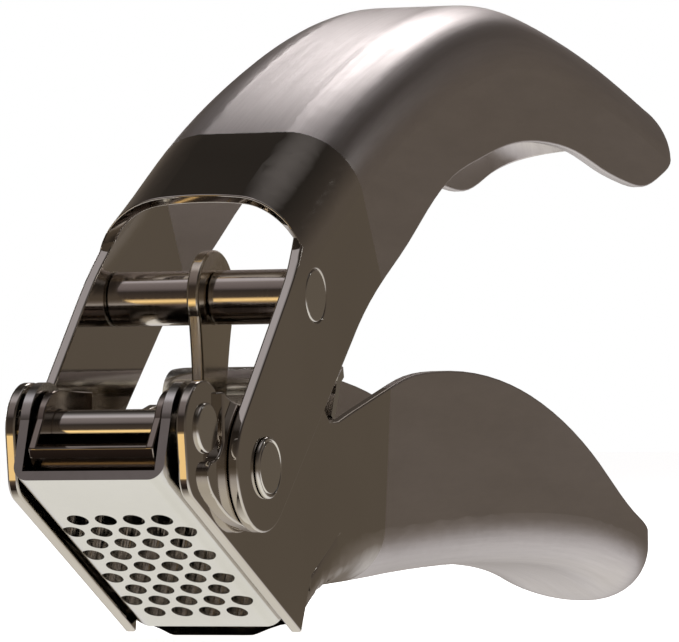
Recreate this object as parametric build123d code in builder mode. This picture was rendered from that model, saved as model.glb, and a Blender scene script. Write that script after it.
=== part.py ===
from build123d import *
from math import cos, radians, sin
import os

# Garlic press, millimetres.  X runs across the press, Y from the head back along the
# handles, Z up.  The origin is on the surface it stands on, under the middle of its box.

# ---- driving dimensions -------------------------------------------------------------
ORIGIN_SHIFT = -73.91        # Y of the sieve's centre
SHEET = 1.4                  # both handles
SIEVE_SHEET = 1.2
PRESS_SHEET = 1.0
LINK_SHEET = 1.7
FIT = 0.04                   # radial play of a turning pin
SIDE_PLAY = 0.12             # play between neighbours along a pin

# places in the side view: y from the sieve's centre, and z
MAIN_PIVOT = (1.9, 21.6)
FRONT_PIVOT = (-11.7, 26.6)
CROSS_PIVOT = (18.9, 43.3)
LINK_FOOT = (17.6, 18.8)

# half widths of the nested channels, to their outside faces
UPPER_HALF = 14.6
LOWER_HALF = 12.2
SIEVE_HALF = 10.1
PRESS_HALF = 8.4

# bends of the sheet, and where the handles' ends begin to round off in plan
UPPER_BEND = 9.0
LOWER_BEND = 7.0
SIEVE_BEND = 2.0
LOWER_TIP_START = 148.0
LOWER_TIP_LENGTH = 16.0
UPPER_TIP_START = 154.0

# sieve, in its own slope: along its face from the centre of the holes, and up from it
SIEVE_TILT = 27.1
SIEVE_RISE = 10.1
HOLE_PITCH = 3.8
HOLE_DIAMETER = 2.8
HOLE_ROWS = (4, 5, 4, 5, 4, 5, 4, 5, 4)
FIRST_ROW = -3.5             # in rows from the centre
SIEVE_FRONT = -22.6
SIEVE_BACK = 19.2
SIEVE_WALL = 12.0
EAR = 5.9
TAB_HALF = 12.2              # the back wall's shoulders rest in the lower handle's notches
TAB_SHOULDER = 29.4

# press plate, in the same slope when it is closed on the sieve
PRESS_GAP = 0.5
PRESS_OPEN = 11.6            # how far it is lifted as modelled
PRESS_BACK = 16.8
PRESS_EAR = 4.9

# pins
FRONT_PIN = 2.45
FRONT_HEAD = 3.15
CROSS_CORE = 2.2
CROSS_HEAD = 3.4
SLEEVE = 3.5
SLEEVE_BORE = 2.6
MAIN_SHANK = 3.0
MAIN_HEAD = 3.9
MAIN_INNER_HEAD = 4.6
LINK_PIN = 2.0
LINK_EYE_PLAY = 0.75         # the link's foot is a loose eye on its pin
LINK_HEAD_EYE = 6.1
LINK_FOOT_EYE = 4.7
LINK_WIDTH = 8.6

CHEEK_CENTRE = (1.3, 21.9)
CHEEK = 8.4
BOSS_RISE = 0.9

side = Plane(origin=(0, ORIGIN_SHIFT, 0), x_dir=(0, 1, 0), z_dir=(1, 0, 0))
plan = Plane(origin=(0, ORIGIN_SHIFT, 0), x_dir=(1, 0, 0), z_dir=(0, 0, 1))
tilt = radians(SIEVE_TILT)
sieve_side = Plane(
    origin=(0, ORIGIN_SHIFT, SIEVE_RISE), x_dir=(0, cos(tilt), -sin(tilt)), z_dir=(1, 0, 0)
)
sieve_face = Plane(
    origin=(0, ORIGIN_SHIFT, SIEVE_RISE), x_dir=(1, 0, 0), z_dir=(0, sin(tilt), cos(tilt))
)


def on_slope(point):
    """A side-view point, measured along and up from the sieve's face."""
    y, z = point[0], point[1] - SIEVE_RISE
    return (y * cos(tilt) - z * sin(tilt), y * sin(tilt) + z * cos(tilt))


def off_slope(along, up):
    """The side-view point that lies there on the sieve's slope."""
    return (along * cos(tilt) + up * sin(tilt), SIEVE_RISE - along * sin(tilt) + up * cos(tilt))


os.makedirs("parts", exist_ok=True)


def finish(builder, name):
    builder.part.label = name
    export_step(builder.part, f"parts/{name}.step")


def channel(crown_points, half, bend, inset, tip_start, tip_length, far_z):
    """A channel closed at its far end, or what fills its hollow when inset by the sheet.

    The crown follows the points; far_z is the height that the walls reach away from it."""
    with BuildPart() as blank:
        with BuildSketch(side.offset(inset - half)):
            with BuildLine():
                outer = Spline(*crown_points, mode=Mode.PRIVATE)
                inward = 90 if far_z > crown_points[0][1] else -90
                stations = [step / 24 for step in range(25)]
                crown = Spline(
                    *[outer @ t + (outer % t).rotate(Axis.Z, inward) * inset for t in stations]
                )
                near, far = crown @ 0, crown @ 1
                Polyline(far, (far.X, far_z), (near.X, far_z), near)
            make_face()
        extrude(amount=2 * (half - inset))
        with BuildSketch(plan.offset(-20)):
            with Locations((0, tip_start / 2 - 50)):
                Rectangle(2 * (half - inset), tip_start + 100)
            with Locations((0, tip_start)):
                Ellipse(half - inset, tip_length - inset)
        extrude(amount=140, mode=Mode.INTERSECT)
        lengthwise = blank.edges().filter_by(Axis.X, reverse=True).filter_by(Axis.Z, reverse=True)
        bends = lengthwise.filter_by(lambda edge: abs(edge.center().Z - far_z) > 0.5)
        fillet(bends, bend - inset)
    return blank.part


# ---- lower handle: a channel with its crown down -----------------------------------------
LOWER_CROWN = [
    (14, -6), (18.5, 0), (23, 4.4), (34, 6.0), (62, 6.9), (90, 7.6), (115, 7.1), (134, 5.6),
    (148, 2.9), (157, 0.6), (168, 0.4),
]
# rim of the walls, from the ear back to the end
LOWER_RIM_FRONT = [(-8.2, 31.3), (-5.5, 30.1), (2, 29.3), (14, 28.4), (26.6, 29.8)]
NOTCH = [(26.6, 29.8), (27.6, 28.6), (29.0, 27.3), (32.0, 27.3)]
LOWER_RIM = [
    (32.0, 27.3), (40, 29.3), (48, 31.2), (57, 33.2), (67, 34.0), (78, 34.0), (95, 32.4),
    (113, 28.3), (131, 21.3), (144, 14.8), (156, 11.0), (170, 9.8),
]
HEEL = 21.05                         # front edge of the crown, along the sieve's slope
RAIL_CORNER = (-17.0, 3.3)           # centre of the walls' rounded front corner, on the slope
BOSS_TOE = [
    (-11.7, 22.5), (-12.9, 21.2), (-12.3, 19.3), (-10.4, 17.7), (-6.9, 15.8), (-1.5, 14.3),
    (3.3, 13.6),
]
lower_wall = LOWER_HALF - SHEET      # inside face of a wall

lower_outside = channel(
    LOWER_CROWN, LOWER_HALF, LOWER_BEND, 0, LOWER_TIP_START, LOWER_TIP_LENGTH, 60
)
lower_inside = channel(
    LOWER_CROWN, LOWER_HALF, LOWER_BEND, SHEET, LOWER_TIP_START, LOWER_TIP_LENGTH, 63
)

with BuildSketch(side) as head_wall:
    with Locations(FRONT_PIVOT):
        Circle(EAR)
    with Locations(off_slope(*RAIL_CORNER)):
        Circle(RAIL_CORNER[1])
    with BuildLine():
        Polyline(FRONT_PIVOT, off_slope(HEEL, 0), off_slope(HEEL, 14), FRONT_PIVOT)
    make_face()
    make_hull()
    with BuildLine():
        Polyline(
            (-8.2, 20), (-8.2, 31.3), (34, 31.3), (34, 14.1), off_slope(HEEL, 8.0), (-8.2, 20)
        )
    make_face()

with BuildSketch(side) as boss_outline:
    with BuildLine():
        toe = Spline(*BOSS_TOE)
        under_cheek = ThreePointArc(toe @ 1, (7.6, 16.0), (9.9, 22.0))
        Polyline(under_cheek @ 1, (9.9, 40), (-7.9, 40), (-7.9, 25.1))
        ThreePointArc((-7.9, 25.1), (-8.9, 23.6), toe @ 0)
    make_face()

with BuildSketch(side) as boss_recess:
    with Locations(MAIN_PIVOT):
        Circle(MAIN_INNER_HEAD + 1.6)
    with Locations((-7.5, 20.3)):
        Circle(2.4)
    make_hull()

with BuildPart() as lower_handle:
    add(lower_outside)
    add(lower_inside, mode=Mode.SUBTRACT)
    with BuildSketch(sieve_side.offset(-40)):    # open in front of the heel
        with Locations((HEEL, 0)):
            Rectangle(60, 200, align=(Align.MAX, Align.CENTER))
    extrude(amount=80, mode=Mode.SUBTRACT)
    for start in (lower_wall, -LOWER_HALF):
        add(extrude(head_wall.sketch.moved(Pos(start, 0, 0)), SHEET))
    for start in (LOWER_HALF, -LOWER_HALF - BOSS_RISE):
        add(extrude(boss_outline.sketch.moved(Pos(start, 0, 0)), BOSS_RISE))
    for start in (lower_wall, -lower_wall - BOSS_RISE):
        add(extrude(boss_recess.sketch.moved(Pos(start, 0, 0)), BOSS_RISE), mode=Mode.SUBTRACT)
    with BuildSketch(side.offset(-40)):          # everything above the rim
        with BuildLine():
            front_rim = Spline(*LOWER_RIM_FRONT)
            Polyline(*NOTCH)
            rear_rim = Spline(*LOWER_RIM)
            Polyline(rear_rim @ 1, (170, 90), (-8.2, 90), front_rim @ 0)
        make_face()
    extrude(amount=80, mode=Mode.SUBTRACT)
    with BuildSketch(side.offset(-40)):
        with Locations(FRONT_PIVOT):
            Circle(FRONT_PIN)
        with Locations(MAIN_PIVOT):
            Circle(MAIN_SHANK)
    extrude(amount=80, mode=Mode.SUBTRACT)
finish(lower_handle, "lower_handle")

# ---- upper handle: a wider channel with its crown up, and cheeks down to the main pivot --
UPPER_CROWN = [
    (-12, 44), (4, 50.5), (16.5, 56.7), (32, 65.6), (51, 74.2), (69, 80.4), (87, 84.2),
    (97, 84.9), (113, 83.5), (133, 80.0), (156, 74.4), (172, 70.4),
]
UPPER_RIM = [
    (31.5, 37.9), (42.5, 45.8), (50.3, 50.1), (59.2, 55.7), (68.2, 60.1), (78.3, 62.8),
    (87.7, 64.8), (97.2, 65.8), (107, 65.8), (116.7, 64.9), (126.7, 62.9), (136.9, 61.4),
    (145, 61.1), (152, 62.8), (160, 65.6), (170, 68.5),
]
FRONT_SLOPE = 47.0           # of the cheeks' front edges
REAR_SLOPE = 42.1            # of the cheeks' rear edges
ARCH_LENGTH = 27.0           # from the cheek's round to the foot of the arch
ARCH_RISE = 8.1
upper_wall = UPPER_HALF - SHEET


def cheek_edge(slope, turn):
    """Where a straight edge of that slope leaves the cheek's round end."""
    angle = radians(slope + turn * 90)
    return (CHEEK_CENTRE[0] + CHEEK * cos(angle), CHEEK_CENTRE[1] + CHEEK * sin(angle))


front_edge = cheek_edge(FRONT_SLOPE, 1)
rear_edge = cheek_edge(REAR_SLOPE, -1)
climb = radians(FRONT_SLOPE)
arch_y = front_edge[0] + ARCH_LENGTH * cos(climb)
arch_z = front_edge[1] + ARCH_LENGTH * sin(climb)
arch_plane = Plane(
    origin=(0, ORIGIN_SHIFT + arch_y, arch_z), x_dir=(1, 0, 0), z_dir=(0, -sin(climb), cos(climb))
)

with BuildPart() as upper_handle:
    add(channel(UPPER_CROWN, UPPER_HALF, UPPER_BEND, 0, UPPER_TIP_START, UPPER_HALF, -5))
    add(
        channel(UPPER_CROWN, UPPER_HALF, UPPER_BEND, SHEET, UPPER_TIP_START, UPPER_HALF, -8),
        mode=Mode.SUBTRACT,
    )
    with BuildSketch(side.offset(-40)):
        with BuildLine():
            round_end = ThreePointArc(
                front_edge, (CHEEK_CENTRE[0], CHEEK_CENTRE[1] - CHEEK), rear_edge
            )
            Line(round_end @ 1, UPPER_RIM[0])
            rim = Spline(*UPPER_RIM)
            Polyline(rim @ 1, (175, 68), (175, 100), (-30, 100), (-30, front_edge[1]), front_edge)
        make_face()
    extrude(amount=80, mode=Mode.INTERSECT)
    with BuildSketch(arch_plane):                # the arched window at the front
        Ellipse(UPPER_HALF + 0.4, ARCH_RISE)
        Rectangle(2 * UPPER_HALF + 0.8, 80, align=(Align.CENTER, Align.MAX))
    extrude(amount=40, mode=Mode.SUBTRACT)
    with BuildSketch(side.offset(-40)):
        with Locations(MAIN_PIVOT):
            Circle(MAIN_SHANK + FIT)
        with Locations(CROSS_PIVOT):
            Circle(CROSS_HEAD)
    extrude(amount=80, mode=Mode.SUBTRACT)
finish(upper_handle, "upper_handle")

# ---- sieve basket: floor, side walls with ears, back wall with a finger tab ----------------
front_pin_slope = on_slope(FRONT_PIVOT)
TAB_CURVE = [(31.4, 30.63), (31.9, 32.0), (32.7, 32.95), (34.15, 33.72), (35.4, 34.0)]

with BuildPart() as sieve_basket:
    with BuildSketch(sieve_side.offset(-SIEVE_HALF)):
        with Locations(front_pin_slope):
            Circle(EAR)
        with BuildLine():
            Polyline(
                (SIEVE_FRONT, 0), (SIEVE_BACK, 0), (SIEVE_BACK, SIEVE_WALL),
                (front_pin_slope[0], SIEVE_WALL), (front_pin_slope[0] - EAR, front_pin_slope[1]),
                (SIEVE_FRONT, 0),
            )
        make_face()
    extrude(amount=2 * SIEVE_HALF)
    floor_edges = sieve_basket.faces().filter_by(
        lambda face: abs(abs(face.normal_at().Z) - cos(tilt)) < 0.001
    ).sort_by(Axis.Z)[0].edges().filter_by(Axis.X, reverse=True)
    fillet(floor_edges, SIEVE_BEND)
    with BuildSketch(sieve_side.offset(SIEVE_SHEET - SIEVE_HALF)):
        with BuildLine():
            Polyline(
                (SIEVE_FRONT - 10, SIEVE_SHEET), (SIEVE_BACK - SIEVE_SHEET, SIEVE_SHEET),
                (SIEVE_BACK - SIEVE_SHEET, 40), (SIEVE_FRONT - 10, 40),
                (SIEVE_FRONT - 10, SIEVE_SHEET),
            )
        make_face()
    extrude(amount=2 * (SIEVE_HALF - SIEVE_SHEET), mode=Mode.SUBTRACT)
    with BuildSketch(side.offset(-TAB_HALF)):    # back wall, curling over at its top
        back_middle = SIEVE_BACK - SIEVE_SHEET / 2
        with BuildLine() as back_line:
            Line(off_slope(back_middle, SIEVE_WALL - 2), TAB_CURVE[0])
            Spline(*TAB_CURVE, tangents=((sin(tilt), cos(tilt)), (1, 0.2)))
        trace(back_line.line, SIEVE_SHEET)
    extrude(amount=2 * TAB_HALF)
    for turn in (1, -1):
        with BuildSketch(sieve_side.offset(turn * (SIEVE_HALF + 5))):
            with Locations((SIEVE_BACK, TAB_SHOULDER)):
                Rectangle(20, 40, align=(Align.CENTER, Align.MAX))
        extrude(amount=5, both=True, mode=Mode.SUBTRACT)
    lip_corners = sieve_basket.edges().sort_by(Axis.Y)[-6:].filter_by(Axis.X, reverse=True)
    fillet(lip_corners.sort_by(Axis.Y)[-2:], 2.0)
    row_pitch = HOLE_PITCH * cos(radians(30))
    with BuildSketch(sieve_face):
        for row, count in enumerate(HOLE_ROWS):
            with Locations((0, (row + FIRST_ROW) * row_pitch)):
                with GridLocations(HOLE_PITCH, 1, count, 1):
                    Circle(HOLE_DIAMETER / 2)
    extrude(amount=SIEVE_SHEET, mode=Mode.SUBTRACT)
    with BuildSketch(side.offset(-40)):
        with Locations(FRONT_PIVOT):
            Circle(FRONT_PIN + FIT)
    extrude(amount=80, mode=Mode.SUBTRACT)
finish(sieve_basket, "sieve_basket")

# ---- press plate: floor with a round apron in front, low walls, ears on the front pin -----
front_pin_centre = (0, ORIGIN_SHIFT + FRONT_PIVOT[0], FRONT_PIVOT[1])
press_tilt = radians(SIEVE_TILT - PRESS_OPEN)
press_side = Plane(
    origin=front_pin_centre, x_dir=(0, cos(press_tilt), -sin(press_tilt)), z_dir=(1, 0, 0)
)
APRON = front_pin_slope[1] - SIEVE_SHEET - PRESS_GAP     # outer radius about the front pin
APRON_EDGE = 33.0                                        # its top edge, below the pin's level
press_reach = PRESS_BACK - front_pin_slope[0]
edge_angle = radians(180 + APRON_EDGE)
PRESS_FLANGE = 4.0
LUG = 4.6

with BuildPart() as press_plate:
    with BuildSketch(press_side.offset(-PRESS_HALF)):    # floor and apron
        with BuildLine():
            apron = CenterArc((0, 0), APRON, 180 + APRON_EDGE, 90 - APRON_EDGE)
            Line((0, -APRON), (press_reach, -APRON))
            Line((press_reach, -APRON), (press_reach, PRESS_SHEET - APRON))
            Line((press_reach, PRESS_SHEET - APRON), (0, PRESS_SHEET - APRON))
            inner = CenterArc((0, 0), APRON - PRESS_SHEET, 180 + APRON_EDGE, 90 - APRON_EDGE)
            Line(apron @ 0, inner @ 0)
        make_face()
    extrude(amount=2 * PRESS_HALF)
    with BuildSketch(press_side.offset(-PRESS_HALF)):
        with Locations((press_reach, -APRON)):
            Rectangle(PRESS_SHEET, PRESS_FLANGE, align=(Align.MAX, Align.MIN))
    extrude(amount=2 * PRESS_HALF)
    for face_x in (-PRESS_HALF, PRESS_HALF - PRESS_SHEET):
        with BuildSketch(side.offset(face_x)) as wall_top:    # the wall's ear and visible tab
            with Locations(FRONT_PIVOT):
                Circle(PRESS_EAR)
            with BuildLine():
                ear_top = FRONT_PIVOT[1] + PRESS_EAR
                Polyline(
                    (FRONT_PIVOT[0], ear_top), (-1.7, ear_top - 0.2), (-1.7, 28.0), (6, 26.8),
                    (12, 24.5), (LINK_FOOT[0], LINK_FOOT[1] + LUG), LINK_FOOT, FRONT_PIVOT,
                    (FRONT_PIVOT[0], ear_top),
                )
            make_face()
            with Locations(LINK_FOOT):
                Circle(LUG)
        extrude(amount=PRESS_SHEET)
        with BuildSketch(press_side.offset(face_x)):          # and the rest of it to the floor
            with BuildLine():
                Line(apron @ 0, (-PRESS_EAR, 0))
                Polyline((-PRESS_EAR, 0), (press_reach - 5, 1.5), (press_reach, PRESS_FLANGE - APRON))
                Polyline((press_reach, PRESS_FLANGE - APRON), (press_reach, -APRON), (0, -APRON))
                CenterArc((0, 0), APRON, 180 + APRON_EDGE, 90 - APRON_EDGE)
            make_face()
        extrude(amount=PRESS_SHEET)
    with BuildSketch(side.offset(-40)):
        with Locations(FRONT_PIVOT):
            Circle(FRONT_PIN + FIT)
        with Locations(LINK_FOOT):
            Circle(LINK_PIN)
    extrude(amount=80, mode=Mode.SUBTRACT)
finish(press_plate, "press_plate")

# ---- link plate: from the cross pin down to the press plate ---------------------------------
with BuildPart() as link_plate:
    with BuildSketch(side.offset(-LINK_SHEET / 2)):
        with Locations(CROSS_PIVOT):
            Circle(LINK_HEAD_EYE)
        with Locations(LINK_FOOT):
            Circle(LINK_FOOT_EYE)
        with BuildLine():
            lean = (CROSS_PIVOT[0] - LINK_FOOT[0]) / (CROSS_PIVOT[1] - LINK_FOOT[1])
            waist = (CROSS_PIVOT[0] - lean * 8.3, CROSS_PIVOT[1] - 8.3)
            top_z, low_z = CROSS_PIVOT[1] - 1.0, LINK_FOOT[1]
            front = Spline(
                (CROSS_PIVOT[0] - LINK_HEAD_EYE + 0.2, top_z),
                (waist[0] - LINK_WIDTH / 2, waist[1]), (LINK_FOOT[0] - LINK_FOOT_EYE, low_z),
            )
            rear = Spline(
                (LINK_FOOT[0] + LINK_FOOT_EYE, low_z), (waist[0] + LINK_WIDTH / 2, waist[1]),
                (CROSS_PIVOT[0] + LINK_HEAD_EYE - 0.2, top_z),
            )
            Line(front @ 1, rear @ 0)
            Line(rear @ 1, front @ 0)
        make_face()
        with Locations(CROSS_PIVOT):
            Circle(CROSS_CORE + FIT, mode=Mode.SUBTRACT)
        with Locations(LINK_FOOT):
            Circle(LINK_PIN + LINK_EYE_PLAY, mode=Mode.SUBTRACT)
    extrude(amount=LINK_SHEET)
    rims = link_plate.faces().filter_by(Axis.X).edges()
    fillet(rims, 0.35)
finish(link_plate, "link_plate")

# ---- pins, rivets and sleeves ------------------------------------------------------------
link_face = LINK_SHEET / 2 + SIDE_PLAY


def across(point, x=0.0):
    """A plane square to X, at a place in the side view."""
    return Plane(origin=(x, ORIGIN_SHIFT + point[0], point[1]), x_dir=(0, 1, 0), z_dir=(1, 0, 0))


with BuildPart() as cross_pin:
    with BuildSketch(across(CROSS_PIVOT, -UPPER_HALF)):
        Circle(CROSS_CORE)
    extrude(amount=2 * UPPER_HALF)
    for face_x in (-UPPER_HALF, upper_wall):
        with BuildSketch(across(CROSS_PIVOT, face_x)):
            Circle(CROSS_HEAD)
        extrude(amount=SHEET)
    head_rims = cross_pin.faces().filter_by(Axis.X).sort_by(Axis.X)
    fillet(head_rims[0].edges() + head_rims[-1].edges(), 0.3)
finish(cross_pin, "cross_pin")

with BuildPart() as front_pin:
    with BuildSketch(across(FRONT_PIVOT, -LOWER_HALF)):
        Circle(FRONT_PIN)
    extrude(amount=2 * LOWER_HALF)
    for turn in (1, -1):
        with BuildSketch(across(FRONT_PIVOT, turn * LOWER_HALF)):
            Circle(FRONT_HEAD)
        extrude(amount=turn * 0.5)
    head_rims = front_pin.faces().filter_by(Axis.X).sort_by(Axis.X)
    fillet(head_rims[0].edges() + head_rims[-1].edges(), 0.35)
finish(front_pin, "front_pin")

with BuildPart() as link_pin:
    with BuildSketch(across(LINK_FOOT, -PRESS_HALF - 0.1)):
        Circle(LINK_PIN)
    extrude(amount=2 * PRESS_HALF + 0.2)
    chamfer(link_pin.edges().filter_by(GeomType.CIRCLE), 0.2)
finish(link_pin, "link_pin")

recess_floor = lower_wall + BOSS_RISE
head_x = UPPER_HALF + SIDE_PLAY
for name, turn in (("left", -1), ("right", 1)):
    rivet_centre = (0, ORIGIN_SHIFT + MAIN_PIVOT[0], MAIN_PIVOT[1])
    with BuildPart() as main_rivet:
        # half of the rivet's section: radius, and place along X
        with BuildSketch(Plane(origin=rivet_centre, x_dir=(0, 1, 0), z_dir=(0, 0, -turn))):
            with BuildLine():
                Polyline(
                    (0, recess_floor - 0.8), (MAIN_INNER_HEAD, recess_floor - 0.8),
                    (MAIN_INNER_HEAD, recess_floor), (MAIN_SHANK, recess_floor),
                    (MAIN_SHANK, head_x), (MAIN_HEAD, head_x), (MAIN_HEAD, head_x + 0.15),
                )
                dome = ThreePointArc(
                    (MAIN_HEAD, head_x + 0.15), (MAIN_HEAD - 0.08, head_x + 0.38),
                    (MAIN_HEAD - 0.25, head_x + 0.5),
                )
                Polyline(
                    dome @ 1, (3.5, head_x + 0.5), (3.35, head_x + 0.3), (3.2, head_x + 0.5),
                    (0, head_x + 0.6), (0, recess_floor - 0.8),
                )
            make_face()
        revolve(axis=Axis(rivet_centre, (1, 0, 0)))
    finish(main_rivet, f"main_rivet_{name}")

    with BuildPart() as cross_sleeve:
        start = link_face if turn == 1 else SIDE_PLAY - upper_wall
        with BuildSketch(across(CROSS_PIVOT, start)):
            Circle(SLEEVE)
            Circle(SLEEVE_BORE, mode=Mode.SUBTRACT)
        extrude(amount=upper_wall - SIDE_PLAY - link_face)
        chamfer(cross_sleeve.edges().filter_by(GeomType.CIRCLE), 0.2)
    finish(cross_sleeve, f"cross_sleeve_{name}")

    with BuildPart() as link_sleeve:
        sleeve_end = PRESS_HALF - PRESS_SHEET - 0.05
        start = link_face if turn == 1 else -sleeve_end
        with BuildSketch(across(LINK_FOOT, start)):
            Circle(LINK_PIN + 1.2)
            Circle(LINK_PIN + 0.1, mode=Mode.SUBTRACT)
        extrude(amount=sleeve_end - link_face)
        chamfer(link_sleeve.edges().filter_by(GeomType.CIRCLE), 0.15)
    finish(link_sleeve, f"link_sleeve_{name}")
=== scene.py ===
import math

import bmesh
import bpy
import numpy
from mathutils import Matrix, Vector
from mathutils.kdtree import KDTree


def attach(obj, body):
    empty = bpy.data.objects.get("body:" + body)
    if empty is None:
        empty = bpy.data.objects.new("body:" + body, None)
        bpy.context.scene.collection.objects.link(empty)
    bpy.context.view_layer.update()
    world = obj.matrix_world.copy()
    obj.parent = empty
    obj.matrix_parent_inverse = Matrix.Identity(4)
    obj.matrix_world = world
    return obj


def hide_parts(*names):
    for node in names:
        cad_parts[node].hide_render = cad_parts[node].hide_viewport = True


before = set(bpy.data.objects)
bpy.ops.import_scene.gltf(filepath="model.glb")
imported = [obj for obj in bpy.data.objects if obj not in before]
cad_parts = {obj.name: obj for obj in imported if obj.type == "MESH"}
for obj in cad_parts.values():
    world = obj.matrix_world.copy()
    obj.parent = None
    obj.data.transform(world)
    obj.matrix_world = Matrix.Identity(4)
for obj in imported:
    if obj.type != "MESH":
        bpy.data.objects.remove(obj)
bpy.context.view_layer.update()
scene = bpy.context.scene
scene.view_settings.view_transform = "Standard"
MM = 0.001
SIDE_VIEW_SHIFT = 73.91                # the side view's Y starts this far from the frame's, in mm


# ---- camera: at the head end, to the right, just above the floor -----------------------
# The sieve's centre is the point that the camera's place is given from.
SIEVE_CENTRE = Vector((0.0, -SIDE_VIEW_SHIFT, 10.1)) * MM
VIEW_AZIMUTH = math.radians(22.1)      # round from the -Y side towards +X
VIEW_RISE = math.radians(0.97)         # the camera looks up by this much
VIEW_ROLL = math.radians(0.57)
VIEW_DISTANCE = 815.1 * MM
AXIS_RIGHT = 23.26 * MM                # the optical axis passes this far right of the sieve
AXIS_ABOVE = 30.0 * MM                 # and this far above it
LENS = 345.3                           # long lens, on the sensor below
SENSOR_WIDTH = 36
FARTHEST = 20

ahead = Vector((
    -math.sin(VIEW_AZIMUTH) * math.cos(VIEW_RISE),
    math.cos(VIEW_AZIMUTH) * math.cos(VIEW_RISE),
    math.sin(VIEW_RISE),
))
level_right = ahead.cross(Vector((0, 0, 1))).normalized()
level_up = level_right.cross(ahead)
right = level_right * math.cos(VIEW_ROLL) - level_up * math.sin(VIEW_ROLL)
up = level_up * math.cos(VIEW_ROLL) + level_right * math.sin(VIEW_ROLL)
eye = SIEVE_CENTRE + right * AXIS_RIGHT + up * AXIS_ABOVE - ahead * VIEW_DISTANCE

camera_data = bpy.data.cameras.new("camera")
camera_data.lens = LENS
camera_data.sensor_width = SENSOR_WIDTH
camera_data.clip_end = FARTHEST
camera = bpy.data.objects.new("camera", camera_data)
turn = Matrix((right, up, -ahead)).transposed().to_4x4()
camera.matrix_world = Matrix.Translation(eye) @ turn
scene.collection.objects.link(camera)
scene.camera = camera


# ---- light and floor --------------------------------------------------------------------
# What the polished steel sees round it, from straight down (0) to straight up (1): in front
# a dark room over a warm band, behind an olive-brown room over a pale table, and a white
# ceiling light above both.
FRONT_ROOM = [
    (0.00, (0.65, 0.62, 0.57)), (0.06, (0.34, 0.31, 0.27)), (0.12, (0.025, 0.018, 0.015)),
    (0.22, (0.045, 0.032, 0.026)), (0.30, (0.12, 0.085, 0.065)),
    (0.35, (0.60, 0.43, 0.20)), (0.40, (1.50, 1.05, 0.46)), (0.45, (0.95, 0.67, 0.31)),
    (0.485, (0.08, 0.06, 0.045)), (0.72, (0.040, 0.032, 0.028)), (0.80, (0.17, 0.145, 0.145)),
    (0.92, (0.24, 0.21, 0.21)), (0.965, (0.80, 0.76, 0.81)), (1.00, (0.80, 0.77, 0.80)),
]
BACK_ROOM = [
    (0.00, (0.80, 0.78, 0.72)), (0.10, (0.88, 0.86, 0.79)), (0.20, (0.84, 0.82, 0.79)),
    (0.31, (0.66, 0.64, 0.64)), (0.40, (0.22, 0.19, 0.165)), (0.48, (0.130, 0.108, 0.084)),
    (0.60, (0.125, 0.104, 0.086)), (0.74, (0.060, 0.050, 0.043)), (0.90, (0.030, 0.026, 0.023)),
    (0.965, (0.16, 0.15, 0.15)), (1.00, (0.40, 0.38, 0.40)),
]
FRONT_TO_BACK = 2.2                    # how fast the front room gives way to the back room
BAND_ASIDE = 0.376                     # the warm band's middle lies this far to the left
BAND_FADE = 14.0                       # how fast the band ends at its sides
BAND_START = -2.1                      # and where that begins

# a Mix node's colour sockets
COLOUR_A, COLOUR_B, COLOUR_RESULT = 6, 7, 2


def ramp(nodes, stops):
    node = nodes.new("ShaderNodeValToRGB")
    elements = node.color_ramp.elements
    while len(elements) < len(stops):
        elements.new(0.5)
    for element, (place, colour) in zip(elements, stops):
        element.position = place
        element.color = (*colour, 1)
    return node


def math_node(nodes, links, operation, first, second=None, clamp=False):
    node = nodes.new("ShaderNodeMath")
    node.operation = operation
    node.use_clamp = clamp
    for socket, value in zip(node.inputs, (first, second)):
        if isinstance(value, (int, float)):
            socket.default_value = value
        elif value is not None:
            links.new(value, socket)
    return node.outputs["Value"]


def new_world():
    world = bpy.data.worlds.new("studio")
    world.use_nodes = True
    scene.world = world
    nodes, links = world.node_tree.nodes, world.node_tree.links
    nodes.clear()
    output = nodes.new("ShaderNodeOutputWorld")
    seen = nodes.new("ShaderNodeBackground")
    seen.inputs["Color"].default_value = (1.0, 1.0, 1.0, 1)
    seen.inputs["Strength"].default_value = 1.0
    direction = nodes.new("ShaderNodeTexCoord")
    split = nodes.new("ShaderNodeSeparateXYZ")
    links.new(direction.outputs["Generated"], split.inputs["Vector"])
    height = math_node(nodes, links, "MULTIPLY_ADD", split.outputs["Z"], 0.5)
    height.node.inputs[2].default_value = 0.5
    front = ramp(nodes, FRONT_ROOM)
    back = ramp(nodes, BACK_ROOM)
    links.new(height, front.inputs["Fac"])
    links.new(height, back.inputs["Fac"])
    depth = math_node(nodes, links, "MULTIPLY_ADD", split.outputs["Y"], FRONT_TO_BACK, clamp=True)
    depth.node.inputs[2].default_value = 0.5
    # the warm band in front is only as wide as a window
    aside = math_node(nodes, links, "ADD", split.outputs["X"], BAND_ASIDE)
    aside = math_node(nodes, links, "ABSOLUTE", aside)
    aside = math_node(nodes, links, "MULTIPLY_ADD", aside, BAND_FADE, clamp=True)
    aside.node.inputs[2].default_value = BAND_START
    depth = math_node(nodes, links, "MAXIMUM", depth, aside)
    sides = nodes.new("ShaderNodeMix")
    sides.data_type = "RGBA"
    links.new(depth, sides.inputs["Factor"])
    links.new(front.outputs["Color"], sides.inputs[COLOUR_A])
    links.new(back.outputs["Color"], sides.inputs[COLOUR_B])
    room = nodes.new("ShaderNodeBackground")
    links.new(sides.outputs[COLOUR_RESULT], room.inputs["Color"])
    room.inputs["Strength"].default_value = 1.0
    path = nodes.new("ShaderNodeLightPath")
    mix = nodes.new("ShaderNodeMixShader")
    links.new(path.outputs["Is Camera Ray"], mix.inputs["Fac"])
    links.new(room.outputs["Background"], mix.inputs[1])
    links.new(seen.outputs["Background"], mix.inputs[2])
    links.new(mix.outputs["Shader"], output.inputs["Surface"])


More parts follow.
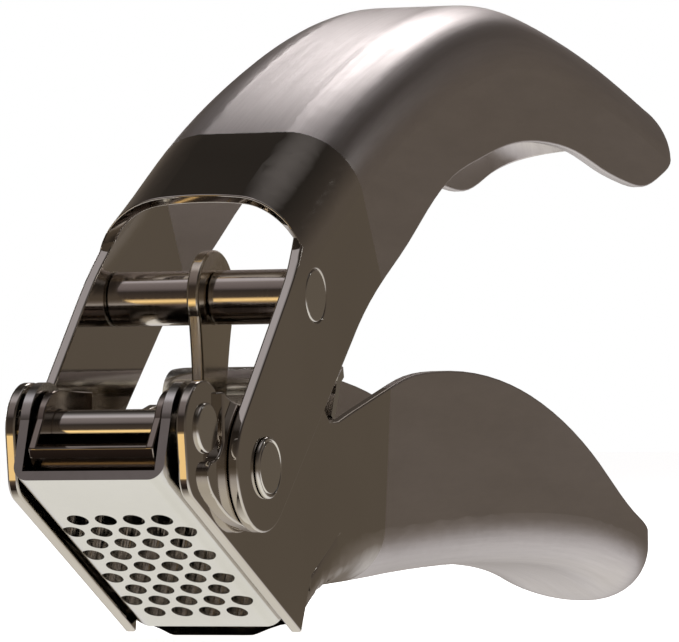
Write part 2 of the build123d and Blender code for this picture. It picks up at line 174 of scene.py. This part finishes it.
def softbox(name, place, target, width, height, power, colour=(1, 1, 1)):
    data = bpy.data.lights.new(name, "AREA")
    data.shape = "RECTANGLE"
    data.size = width
    data.size_y = height
    data.energy = power
    data.color = colour
    light = bpy.data.objects.new(name, data)
    light.location = place
    light.rotation_euler = (Vector(target) - Vector(place)).to_track_quat("-Z", "Y").to_euler()
    scene.collection.objects.link(light)
    return light


new_world()
softbox("key_above", (0.05, 0.05, 1.0), (0, 0, 0), 0.7, 0.7, 9).visible_glossy = False
softbox("behind", (-0.18, 0.80, 0.80), (0, 0, 0.06), 0.50, 0.30, 1.9, (1.0, 0.955, 0.95))
softbox("right_behind", (0.68, 0.64, 0.52), (0, 0, 0.06), 0.015, 0.25, 0.06)
softbox("left_behind", (-0.75, 0.70, 0.24), (0, 0, 0.05), 0.07, 0.34, 0.45)

FLOOR_REACH = 6                        # metres each way
FLOOR_GLOW = 0.88                      # light of its own, which keeps it near white

floor_mesh = bpy.data.meshes.new("floor")
floor_mesh.from_pydata(
    [
        (-FLOOR_REACH, -FLOOR_REACH, 0), (FLOOR_REACH, -FLOOR_REACH, 0),
        (FLOOR_REACH, FLOOR_REACH, 0), (-FLOOR_REACH, FLOOR_REACH, 0),
    ],
    [], [(0, 1, 2, 3)],
)
floor = bpy.data.objects.new("floor", floor_mesh)
floor.visible_glossy = False
scene.collection.objects.link(floor)
floor_material = bpy.data.materials.new("pale_floor")
floor_material.use_nodes = True
floor_shader = floor_material.node_tree.nodes["Principled BSDF"]
floor_shader.inputs["Base Color"].default_value = (0.93, 0.93, 0.93, 1)
floor_shader.inputs["Roughness"].default_value = 0.9
floor_shader.inputs["Emission Color"].default_value = (1.0, 1.0, 1.0, 1)
floor_shader.inputs["Emission Strength"].default_value = FLOOR_GLOW
floor_mesh.materials.append(floor_material)


# ---- steel ------------------------------------------------------------------------------
# Noise stretches are in changes per metre along X, Y and Z; the other sizes are in metres.
SLOW_WAVES = (55, 55, 55)
BRUSH_STREAKS = (2600, 50, 260)
BRUSH_PATCHES = (420, 10, 40)
BRUSH_RIDGE = 0.000012                 # height of the brushing's ridges
BORDER_WANDER = (1500, 200, 1500)      # the polish ends in a slightly ragged line
BORDER_RAGGED = 0.0002                 # this deep
BORDER_SHARP = 3500                    # one over the width of its fade


def noise(nodes, links, place, stretch, detail=3.0, roughness=0.55):
    """Noise in the piece's own place; stretch is how often it changes per metre along X, Y, Z."""
    mapping = nodes.new("ShaderNodeMapping")
    mapping.inputs["Scale"].default_value = stretch
    links.new(place, mapping.inputs["Vector"])
    texture = nodes.new("ShaderNodeTexNoise")
    texture.inputs["Scale"].default_value = 1.0
    texture.inputs["Detail"].default_value = detail
    texture.inputs["Roughness"].default_value = roughness
    links.new(mapping.outputs["Vector"], texture.inputs["Vector"])
    return texture.outputs["Fac"]


def between(nodes, links, factor, low, high):
    """A value that goes from low to high as the factor goes from 0.3 to 0.7."""
    node = nodes.new("ShaderNodeMapRange")
    node.inputs["From Min"].default_value = 0.3
    node.inputs["From Max"].default_value = 0.7
    node.inputs["To Min"].default_value = low
    node.inputs["To Max"].default_value = high
    links.new(factor, node.inputs["Value"])
    return node.outputs["Result"]


def mix_colour(nodes, links, factor, first, second):
    node = nodes.new("ShaderNodeMix")
    node.data_type = "RGBA"
    links.new(factor, node.inputs["Factor"])
    for socket, value in ((node.inputs[COLOUR_A], first), (node.inputs[COLOUR_B], second)):
        if isinstance(value, tuple):
            socket.default_value = (*value, 1)
        else:
            links.new(value, socket)
    return node.outputs[COLOUR_RESULT]


def mix_value(nodes, links, factor, first, second):
    node = nodes.new("ShaderNodeMix")
    links.new(factor, node.inputs[0])
    links.new(first, node.inputs[2])
    links.new(second, node.inputs[3])
    return node.outputs[0]


def steel(name, colour, shade, gloss, grain, wave, brushed=None):
    """Polished steel with fine scratches and slow waves, and brushed beyond a plane if given.

    gloss is the lowest and highest roughness, grain the scratches' stretch along X, Y and Z,
    wave how far the slow waves move the face, in metres. brushed is (a point of the plane, its
    normal, colour, shade, roughness range), with the point in the side view's millimetres.
    """
    material = bpy.data.materials.new(name)
    material.use_nodes = True
    nodes, links = material.node_tree.nodes, material.node_tree.links
    shader = nodes["Principled BSDF"]
    shader.inputs["Metallic"].default_value = 1
    place = nodes.new("ShaderNodeTexCoord").outputs["Object"]
    fine = noise(nodes, links, place, grain, 4.0)
    slow = noise(nodes, links, place, SLOW_WAVES, 1.5)
    tint = mix_colour(nodes, links, slow, colour, shade)
    rough = between(nodes, links, fine, gloss[0], gloss[1])
    height = math_node(nodes, links, "MULTIPLY", slow, wave)
    if brushed:
        (edge_y, edge_z), (lean_y, lean_z), base, dull, brushed_gloss = brushed
        split = nodes.new("ShaderNodeSeparateXYZ")
        links.new(place, split.inputs["Vector"])
        along = math_node(nodes, links, "MULTIPLY", split.outputs["Y"], lean_y)
        rise = math_node(nodes, links, "MULTIPLY", split.outputs["Z"], lean_z)
        ahead_of = math_node(nodes, links, "ADD", along, rise)
        edge = ((edge_y - SIDE_VIEW_SHIFT) * lean_y + edge_z * lean_z) * MM
        wander = noise(nodes, links, place, BORDER_WANDER)
        ragged = math_node(nodes, links, "MULTIPLY", wander, BORDER_RAGGED)
        beyond = math_node(nodes, links, "SUBTRACT", ahead_of, edge + BORDER_RAGGED / 2)
        beyond = math_node(nodes, links, "ADD", beyond, ragged)
        mask = math_node(nodes, links, "MULTIPLY_ADD", beyond, BORDER_SHARP, clamp=True)
        mask.node.inputs[2].default_value = 0.5
        streaks = noise(nodes, links, place, BRUSH_STREAKS, 5.0, 0.7)
        broad = noise(nodes, links, place, BRUSH_PATCHES, 2.0)
        brushed_tint = mix_colour(nodes, links, streaks, base, dull)
        tint = mix_colour(nodes, links, mask, tint, brushed_tint)
        matt = between(nodes, links, broad, *brushed_gloss)
        rough = mix_value(nodes, links, mask, rough, matt)
        ridges = math_node(nodes, links, "MULTIPLY", streaks, BRUSH_RIDGE)
        height = mix_value(nodes, links, mask, height, ridges)
    links.new(tint, shader.inputs["Base Color"])
    links.new(rough, shader.inputs["Roughness"])
    bump = nodes.new("ShaderNodeBump")
    bump.inputs["Strength"].default_value = 1.0
    bump.inputs["Distance"].default_value = 1.0
    links.new(height, bump.inputs["Height"])
    links.new(bump.outputs["Normal"], shader.inputs["Normal"])
    return material


LENGTHWISE = (1400, 60, 1400)
ROUND_ABOUT = (2600, 40, 40)
BRUSHED = ((0.80, 0.755, 0.75), (0.60, 0.565, 0.56), (0.30, 0.42))
upper_steel = steel(
    "upper_handle_steel", (0.66, 0.62, 0.57), (0.56, 0.52, 0.47), (0.03, 0.07), LENGTHWISE,
    0.000014, ((30.5, 65.0), (0.87, 0.49), *BRUSHED),
)
lower_steel = steel(
    "lower_handle_steel", (0.66, 0.62, 0.57), (0.56, 0.52, 0.47), (0.03, 0.07), LENGTHWISE,
    0.000014, ((50.0, 30.0), (0.99, -0.13), *BRUSHED),
)
sieve_steel = steel(
    "sieve_steel", (0.78, 0.77, 0.75), (0.70, 0.69, 0.66), (0.10, 0.20), (900, 900, 900), 0.00002
)
# painted shade: the press plate's steel colours are much darker than the other steels, standing in
# for the shadow the sieve casts on the plate
press_steel_painted_shade = steel(
    "press_plate_steel", (0.40, 0.35, 0.31), (0.32, 0.28, 0.25), (0.05, 0.09), LENGTHWISE, 0.00001
)
link_steel = steel(
    "link_steel", (0.76, 0.70, 0.60), (0.66, 0.60, 0.50), (0.08, 0.16), (1200, 1200, 60), 0.00002
)
pin_steel = steel(
    "pin_steel", (0.80, 0.77, 0.72), (0.70, 0.67, 0.62), (0.07, 0.14), (600, 600, 600), 0.00002
)
sleeve_steel = steel(
    "sleeve_steel", (0.74, 0.69, 0.64), (0.64, 0.59, 0.54), (0.09, 0.17), ROUND_ABOUT, 0.00001
)


# ---- shape ------------------------------------------------------------------------------
LOWER_HALF = 12.2                      # half the lower channel's width
LOWER_BEND = 7.0                       # its bends' radius behind the heel
HEEL_FRONT = -51.0                     # the bends tighten between these two places
HEEL_REAR = -29.0
CROWN_MARGIN = 5                       # the crown is followed this far behind them
SIEVE_TILT = 27.1                      # the heel is cut square to the sieve
BEND_REACH = 1.03                      # faces this many radii from a bend's centre belong to it
CORNER_GAIN = 0.44                     # 0.5 would end in a sharp corner
SAME_POINT = 2e-6                      # metres: points this close are one
FLAT = math.radians(0.1)               # faces that meet at less are one flat face
SHARP = math.radians(40)               # edges that turn by more are rounded
CREASE = math.radians(42)              # edges that turn by more stay creases in the shading
SAME_PLACE = 3e-6                      # metres: CAD corners this close lie at one place
ALIKE = 0.9                            # the least agreement of a face with its CAD normal


def smooth(value):
    value = min(max(value, 0.0), 1.0)
    return value * value * (3 - 2 * value)


# Each node's steel, its slot in the record, its body, and the width asked for its rounded
# edges in mm. Short edges in the mesh make it narrower, and on the sieve basket almost none.
FINISHES = {
    "upper_handle": (upper_steel, "upper_handle_steel", "upper", 0.28),
    "lower_handle": (lower_steel, "lower_handle_steel", "lower", 0.28),
    "sieve_basket": (sieve_steel, "sieve_steel", "lower", 0.12),
    "press_plate": (press_steel_painted_shade, "press_plate_steel", "press", 0.24),
    "link_plate": (link_steel, "link_steel", "link", 0.0),
    "cross_pin": (pin_steel, "pin_steel", "upper", 0.0),
    "front_pin": (pin_steel, "pin_steel", "lower", 0.0),
    "main_rivet_left": (pin_steel, "pin_steel", "lower", 0.06),
    "main_rivet_right": (pin_steel, "pin_steel", "lower", 0.06),
    "link_pin": (pin_steel, "pin_steel", "press", 0.08),
    "cross_sleeve_left": (sleeve_steel, "sleeve_steel", "upper", 0.08),
    "cross_sleeve_right": (sleeve_steel, "sleeve_steel", "upper", 0.08),
    "link_sleeve_left": (sleeve_steel, "sleeve_steel", "press", 0.06),
    "link_sleeve_right": (sleeve_steel, "sleeve_steel", "press", 0.06),
}

# on these two, the outlines' short edges don't limit the rounding
LONG_CURVES = ("upper_handle", "lower_handle")


def tighten_heel(shape):
    """The crown's bends get tighter in front of the grip, down to a near corner at the heel."""
    bend_start = (LOWER_HALF - LOWER_BEND) * MM
    crown = sorted(
        (vert.co.y, vert.co.z) for vert in shape.verts
        if abs(vert.co.x) < bend_start + 0.1 * MM and vert.normal.z < -0.6
        and vert.co.y < (HEEL_REAR + CROWN_MARGIN) * MM
    )
    places = [y for y, z in crown]
    heights = [z for y, z in crown]

    def crown_height(y):
        return float(numpy.interp(y, places, heights))

    reshaped = set()
    shape.verts.index_update()
    for vert in shape.verts:
        x, y, z = vert.co
        fade = smooth((HEEL_REAR * MM - y) / ((HEEL_REAR - HEEL_FRONT) * MM))
        out = (abs(x) - bend_start) / (LOWER_BEND * MM)
        down = (crown_height(y) - z) / (LOWER_BEND * MM) + 1
        if fade == 0 or out <= 0 or down <= 0 or math.hypot(out, down) > BEND_REACH:
            continue
        power = 1 / (0.5 - CORNER_GAIN * fade)
        reach = math.hypot(out, down) / (out ** power + down ** power) ** (1 / power)
        lean = math.tan(math.radians(SIEVE_TILT)) * fade
        new_y = y
        for _ in range(6):                     # down the slope that the heel is cut at
            new_z = crown_height(new_y) + (1 - down * reach) * LOWER_BEND * MM
            new_y = y + (new_z - z) * lean
        vert.co = (math.copysign(bend_start + out * reach * LOWER_BEND * MM, x), new_y, new_z)
        reshaped.add(vert.index)
    return reshaped


def keep_shading(mesh, cad_mesh, reshaped):
    """Outside the rounded edges the piece is shaded with the CAD surface's own normals."""
    known = KDTree(len(cad_mesh.loops))
    for loop in cad_mesh.loops:
        known.insert(cad_mesh.vertices[loop.vertex_index].co, loop.index)
    known.balance()
    cad_normals = [corner.vector.copy() for corner in cad_mesh.corner_normals]
    normals = [corner.vector.copy() for corner in mesh.corner_normals]
    for face in mesh.polygons:
        if face.material_index == 0:
            for index in face.loop_indices:
                vertex = mesh.loops[index].vertex_index
                if vertex in reshaped:
                    continue
                place = mesh.vertices[vertex].co
                near = known.find_n(place, 16)
                here = [cad_normals[found[1]] for found in near if found[2] < near[0][2] + SAME_PLACE]
                best = max(here, key=face.normal.dot)
                normals[index] = best if best.dot(face.normal) > ALIKE else face.normal.copy()
        face.material_index = 0
    mesh.normals_split_custom_set(normals)


def softened(name, round_edge):
    """The node's own shape with its sharp edges rounded over, as tumbled steel has them."""
    shape = bmesh.new()
    shape.from_mesh(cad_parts[name].data)
    bmesh.ops.remove_doubles(shape, verts=shape.verts, dist=SAME_POINT)
    bmesh.ops.dissolve_limit(
        shape, angle_limit=FLAT, verts=shape.verts, edges=shape.edges
    )
    sharp = [
        edge for edge in shape.edges
        if edge.is_convex and edge.calc_face_angle(0) > SHARP
    ]
    rounded = bmesh.ops.bevel(
        shape, geom=sharp, offset=round_edge * MM, offset_type="OFFSET", segments=3,
        profile=0.5, affect="EDGES", clamp_overlap=name not in LONG_CURVES,
    )
    for face in rounded["faces"]:
        face.material_index = 1
    shape.normal_update()
    reshaped = tighten_heel(shape) if name == "lower_handle" else set()
    mesh = bpy.data.meshes.new(name + "_finished")
    shape.to_mesh(mesh)
    shape.free()
    mesh.shade_smooth()
    mesh.set_sharp_from_angle(angle=CREASE)
    keep_shading(mesh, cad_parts[name].data, reshaped)
    piece = bpy.data.objects.new(name + "_finished", mesh)
    scene.collection.objects.link(piece)
    return piece


for name, (finish, slot_name, body, round_edge) in FINISHES.items():
    if round_edge:
        piece = softened(name, round_edge)
        piece.data.materials.append(finish)
        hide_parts(name)
        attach(piece, body)
    else:
        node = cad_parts[name]
        node.data.materials.clear()
        node.data.materials.append(finish)
